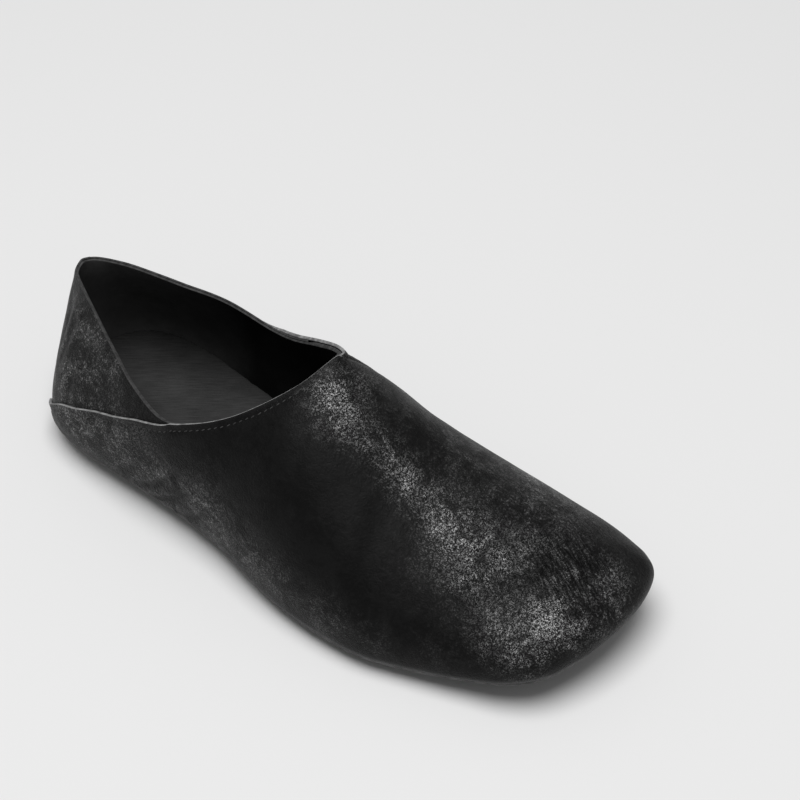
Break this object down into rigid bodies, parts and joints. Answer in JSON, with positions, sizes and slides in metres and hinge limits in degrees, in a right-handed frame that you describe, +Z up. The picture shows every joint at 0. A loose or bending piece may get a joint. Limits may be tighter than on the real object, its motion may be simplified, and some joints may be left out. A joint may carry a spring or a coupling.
{
  "type": "loafer",
  "caption": "Slip-on leather shoe for the right foot: open collar, vamp lapped over the quarter, softly squared toe, flat insole and thin rubber sole with a low heel.",
  "frame": {"origin": "on the floor, under the middle of the shoe's length and width", "axes": "+Y towards the toe, +X towards the outer side of the right foot, +Z up"},
  "size_m": [0.1082, 0.2806, 0.0914],
  "materials": {
    "leather": "worn matt black with paler rubbed patches",
    "footbed": "dark grey with a fine cross grain",
    "board": "black cut edge",
    "rubber": "matt black"
  },
  "bodies": {
    "root": {"upper": "leather", "insole": "footbed", "midsole": "board", "outsole": "rubber"}
  },
  "joints": []
}
